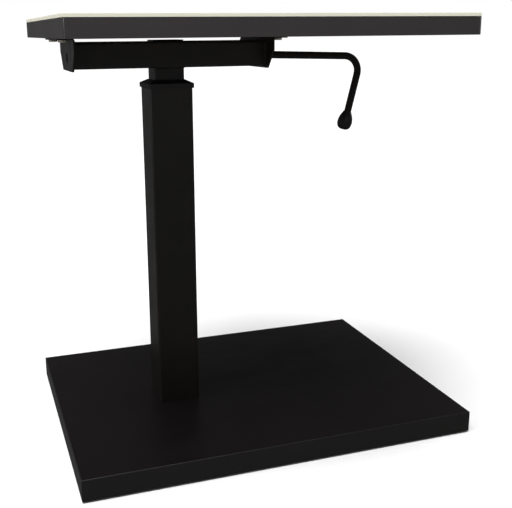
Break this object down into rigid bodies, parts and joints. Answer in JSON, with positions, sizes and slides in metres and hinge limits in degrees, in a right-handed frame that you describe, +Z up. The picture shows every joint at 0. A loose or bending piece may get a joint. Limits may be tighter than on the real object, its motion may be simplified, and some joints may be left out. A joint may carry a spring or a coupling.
{
  "type": "height adjustable standing desk",
  "caption": "Pneumatic sit-stand desk: flat worktop cantilevered on a beam and an off-centre square telescopic column over a slab base, with a hanging release lever.",
  "frame": {"origin": "on the floor under the middle of the base slab", "axes": "+Z up; +X along the long front edge, towards the side where the lever hangs; +Y towards the back"},
  "size_m": [0.711, 0.565, 0.749],
  "materials": {
    "board": "raw particle board",
    "base_laminate": "satin black laminate with a fine grain",
    "base_edge": "satin black edge band",
    "nylon_black": "matt black moulded nylon",
    "zinc_steel": "zinc plated steel",
    "powder_black": "satin black powder coat",
    "cylinder_black": "smooth black enamel",
    "aluminium": "turned aluminium",
    "seal_rubber": "black nitrile rubber",
    "ground_steel": "ground and polished steel",
    "cream_laminate": "cream laminate, smooth satin",
    "charcoal_band": "charcoal satin edge band",
    "black_zinc": "black zinc plated steel",
    "brass": "plain brass",
    "knob_black": "soft black moulding"
  },
  "bodies": {
    "base": {"base_core": "board", "base_top_laminate": "base_laminate", "base_edge_front": "base_edge", "base_edge_back": "base_edge", "base_edge_left": "base_edge", "base_edge_right": "base_edge", "glide_front_left": "nylon_black", "glide_front_right": "nylon_black", "glide_back_left": "nylon_black", "glide_back_right": "nylon_black", "column_backing_plate": "zinc_steel", "column_bolts": "zinc_steel", "column_foot_plate": "powder_black", "outer_tube": "powder_black", "top_bush": "nylon_black", "gas_cylinder": "cylinder_black", "cylinder_stud": "zinc_steel", "cylinder_lock_nut": "zinc_steel", "rod_guide": "aluminium", "rod_seal": "seal_rubber", "separator_piston": "aluminium"},
    "lift": {"inner_tube": "powder_black", "lower_glide": "nylon_black", "head_cap": "powder_black", "anchor_plate": "powder_black", "piston_rod": "ground_steel", "piston": "aluminium", "piston_ring": "seal_rubber", "rod_lock_nut": "zinc_steel", "beam_channel": "powder_black", "end_plate_left": "powder_black", "end_plate_right": "powder_black", "gusset_front": "powder_black", "gusset_back": "powder_black", "head_bush_left": "nylon_black", "head_bush_right": "nylon_black", "end_bush": "nylon_black", "stop_plate": "powder_black", "desktop_core": "board", "top_panel": "cream_laminate", "top_edge_front": "charcoal_band", "top_edge_back": "charcoal_band", "top_edge_left": "charcoal_band", "top_edge_right": "charcoal_band", "mounting_screws": "black_zinc", "threaded_inserts": "brass"},
    "lever": {"lever_rod": "powder_black", "lever_knob": "knob_black", "release_cam": "zinc_steel", "cam_roll_pin": "zinc_steel", "retaining_collar": "zinc_steel", "retaining_collar_screw": "zinc_steel", "stop_collar": "zinc_steel", "stop_collar_screw": "zinc_steel"},
    "release_pin": {"release_pin": "ground_steel"}
  },
  "joints": [
    {"name": "height_slide", "type": "slide", "parent": "base", "child": "lift", "axis": [0, 0, 1], "range_m": [0, 0.4]},
    {"name": "lever_swing", "type": "hinge", "parent": "lift", "child": "lever", "pos_m": [-0.134, 0, 0.6815], "axis": [1, 0, 0], "range_deg": [0, 30], "stiffness_Nm_per_rad": 0.6, "springref_deg": -20.05},
    {"name": "pin_press", "type": "slide", "parent": "lift", "child": "release_pin", "axis": [0, 0, -1], "range_m": [0, 0.003]}
  ],
  "couplings": [
    {"joint": "pin_press", "follows": "lever_swing", "m_per_rad": 0.0047746}
  ]
}
